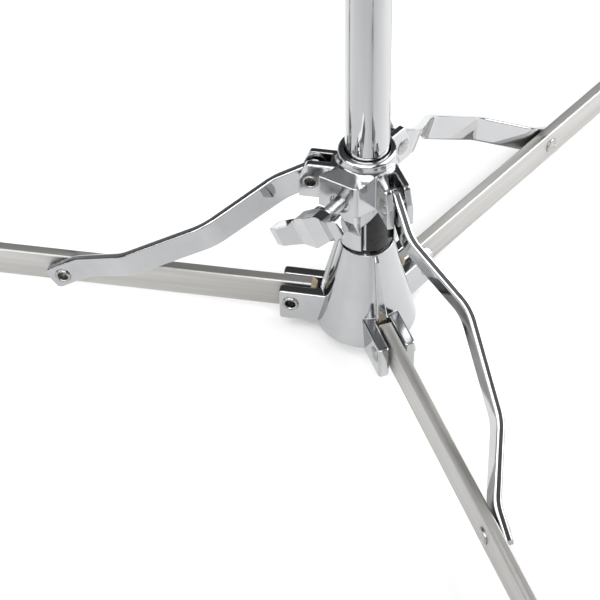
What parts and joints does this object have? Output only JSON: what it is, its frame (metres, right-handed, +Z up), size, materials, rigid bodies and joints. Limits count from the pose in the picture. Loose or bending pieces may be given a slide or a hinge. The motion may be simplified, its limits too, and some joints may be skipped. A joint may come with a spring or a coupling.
{
  "type": "cymbal boom stand",
  "caption": "Folding flat-base stand with telescoping tubes, a tilting and sliding boom, and a felt-padded seat that holds a cymbal by its centre hole.",
  "frame": {"origin": "on the floor, on the axis of the upright tubes", "axes": "+Z up along the tubes; -Y along the front leg (leg b); +Y towards the boom's cymbal end"},
  "size_m": [0.5834, 0.668, 1.1829],
  "materials": {
    "cast_chrome": "polished chrome on a die casting",
    "tube_chrome": "mirror chrome tube",
    "stay_chrome": "polished chrome flat bar",
    "leg_metal": "satin, brushed along the bar",
    "rivet_steel": "plain rivet steel",
    "bolt_chrome": "chrome fastener",
    "black_nylon": "moulded nylon, slight sheen",
    "cream_nylon": "moulded nylon, natural cream",
    "black_rubber": "moulded rubber",
    "plug_steel": "turned steel",
    "grey_felt": "pressed wool felt"
  },
  "bodies": {
    "base": {"hub": "cast_chrome", "tube_end_plug": "plug_steel", "hub_screw": "bolt_chrome", "lower_tube": "tube_chrome", "leg_pivot_rivets": "rivet_steel", "lower_clamp": "cast_chrome"},
    "collar": {"stay_collar": "cast_chrome", "collar_bush": "black_nylon", "collar_rivets": "rivet_steel"},
    "collar_wing": {"collar_wing_bolt": "bolt_chrome"},
    "leg_a": {"leg_bar_a": "leg_metal", "leg_plug_a": "cream_nylon", "rubber_foot_a": "black_rubber", "leg_stay_rivet_a": "rivet_steel"},
    "stay_arm_a": {"stay_a": "stay_chrome", "stay_rivet_tail_a": "rivet_steel"},
    "leg_b": {"leg_bar_b": "leg_metal", "leg_plug_b": "cream_nylon", "rubber_foot_b": "black_rubber", "leg_stay_rivet_b": "rivet_steel"},
    "stay_arm_b": {"stay_b": "stay_chrome", "stay_rivet_tail_b": "rivet_steel"},
    "leg_c": {"leg_bar_c": "leg_metal", "leg_plug_c": "cream_nylon", "rubber_foot_c": "black_rubber", "leg_stay_rivet_c": "rivet_steel"},
    "stay_arm_c": {"stay_c": "stay_chrome", "stay_rivet_tail_c": "rivet_steel"},
    "lower_clamp_wing": {"lower_clamp_wing_bolt": "bolt_chrome"},
    "lower_bush": {"lower_clamp_bush": "black_nylon"},
    "mid": {"mid_tube": "tube_chrome", "mid_clamp": "cast_chrome"},
    "mid_clamp_wing": {"mid_clamp_wing_bolt": "bolt_chrome"},
    "mid_bush": {"mid_clamp_bush": "black_nylon"},
    "upper": {"upper_tube": "tube_chrome", "tilter_base": "cast_chrome"},
    "tilter_wing": {"tilter_wing_bolt": "bolt_chrome"},
    "tilter": {"tilter_head": "cast_chrome"},
    "boom_wing": {"boom_clamp_wing_bolt": "bolt_chrome"},
    "boom_sleeve": {"boom_bush": "black_nylon"},
    "boom": {"boom_rod": "tube_chrome", "boom_end_cap": "black_rubber", "seat_base": "cast_chrome"},
    "seat_wing": {"seat_wing_screw": "bolt_chrome"},
    "seat": {"seat_head": "cast_chrome", "cymbal_rod": "bolt_chrome", "seat_cup": "bolt_chrome", "seat_sleeve": "black_nylon", "felt_lower": "grey_felt", "felt_upper": "grey_felt", "cup_washer": "bolt_chrome"},
    "cymbal_nut": {"cymbal_wing_nut": "bolt_chrome"}
  },
  "joints": [
    {"name": "collar_slide", "type": "slide", "parent": "base", "child": "collar", "axis": [0, 0, 1], "range_m": [0, 0.2274]},
    {"name": "collar_wing_turn", "type": "hinge", "parent": "collar", "child": "collar_wing", "pos_m": [-0.02544, -0.0159, 0.1235], "axis": [-0.848, -0.5299, 0], "range_deg": [-270, 0]},
    {"name": "leg_fold_a", "type": "hinge", "parent": "base", "child": "leg_a", "pos_m": [-0.03854, 0.02225, 0.026], "axis": [0.5, 0.866, 0], "range_deg": [0, 87]},
    {"name": "stay_swing_a", "type": "hinge", "parent": "collar", "child": "stay_arm_a", "pos_m": [-0.02909, 0.01021, 0.1286], "axis": [-0.5, -0.866, 0], "range_deg": [0, 49.41]},
    {"name": "leg_fold_b", "type": "hinge", "parent": "base", "child": "leg_b", "pos_m": [0, -0.0445, 0.026], "axis": [-1, 0, 0], "range_deg": [0, 87]},
    {"name": "stay_swing_b", "type": "hinge", "parent": "collar", "child": "stay_arm_b", "pos_m": [0.0057, -0.0303, 0.1286], "axis": [1, 0, 0], "range_deg": [0, 49.41]},
    {"name": "leg_fold_c", "type": "hinge", "parent": "base", "child": "leg_c", "pos_m": [0.03854, 0.02225, 0.026], "axis": [0.5, -0.866, 0], "range_deg": [0, 87]},
    {"name": "stay_swing_c", "type": "hinge", "parent": "collar", "child": "stay_arm_c", "pos_m": [0.02339, 0.02009, 0.1286], "axis": [-0.5, 0.866, 0], "range_deg": [0, 49.41]},
    {"name": "lower_clamp_wing_turn", "type": "hinge", "parent": "base", "child": "lower_clamp_wing", "pos_m": [-0.02315, -0.01908, 0.53], "axis": [-0.7716, -0.6361, 0], "range_deg": [-270, 0]},
    {"name": "mid_turn", "type": "hinge", "parent": "base", "child": "lower_bush", "pos_m": [0, 0, 0.52], "axis": [0, 0, 1], "continuous": true},
    {"name": "mid_slide", "type": "slide", "parent": "lower_bush", "child": "mid", "axis": [0, 0, 1], "range_m": [-0.19, 0.15]},
    {"name": "mid_clamp_wing_turn", "type": "hinge", "parent": "mid", "child": "mid_clamp_wing", "pos_m": [-0.02315, -0.01908, 0.78], "axis": [-0.7716, -0.6361, 0], "range_deg": [-270, 0]},
    {"name": "upper_turn", "type": "hinge", "parent": "mid", "child": "mid_bush", "pos_m": [0, 0, 0.77], "axis": [0, 0, 1], "continuous": true},
    {"name": "upper_slide", "type": "slide", "parent": "mid_bush", "child": "upper", "axis": [0, 0, 1], "range_m": [-0.065, 0.15]},
    {"name": "tilter_wing_turn", "type": "hinge", "parent": "upper", "child": "tilter_wing", "pos_m": [-0.02, 0, 0.905], "axis": [-1, 0, 0], "range_deg": [-270, 0]},
    {"name": "boom_tilt", "type": "hinge", "parent": "upper", "child": "tilter", "pos_m": [0, 0, 0.905], "axis": [1, 0, 0], "range_deg": [-30, 60]},
    {"name": "boom_clamp_wing_turn", "type": "hinge", "parent": "tilter", "child": "boom_wing", "pos_m": [0.05, 0, 0.905], "axis": [1, 0, 0], "range_deg": [-270, 0]},
    {"name": "boom_turn", "type": "hinge", "parent": "tilter", "child": "boom_sleeve", "pos_m": [0.026, 0, 0.905], "axis": [0, 0.866, 0.5], "continuous": true},
    {"name": "boom_slide", "type": "slide", "parent": "boom_sleeve", "child": "boom", "axis": [0, 0.866, 0.5], "range_m": [-0.12, 0.07]},
    {"name": "seat_wing_turn", "type": "hinge", "parent": "boom", "child": "seat_wing", "pos_m": [0.01, 0.315, 1.08686], "axis": [-1, 0, 0], "range_deg": [-270, 0]},
    {"name": "seat_tilt", "type": "hinge", "parent": "boom", "child": "seat", "pos_m": [0.026, 0.315, 1.08686], "axis": [1, 0, 0], "range_deg": [-45, 45]},
    {"name": "cymbal_nut_turn", "type": "hinge", "parent": "seat", "child": "cymbal_nut", "pos_m": [0.0302, 0.315, 1.14687], "axis": [0, 0, 1], "range_deg": [0, 720]}
  ],
  "couplings": [
    {"joint": "leg_fold_a", "follows": "collar_slide", "rad_per_m": 6.6767},
    {"joint": "stay_swing_a", "follows": "collar_slide", "rad_per_m": 3.7923},
    {"joint": "leg_fold_b", "follows": "collar_slide", "rad_per_m": 6.6767},
    {"joint": "stay_swing_b", "follows": "collar_slide", "rad_per_m": 3.7923},
    {"joint": "leg_fold_c", "follows": "collar_slide", "rad_per_m": 6.6767},
    {"joint": "stay_swing_c", "follows": "collar_slide", "rad_per_m": 3.7923}
  ]
}
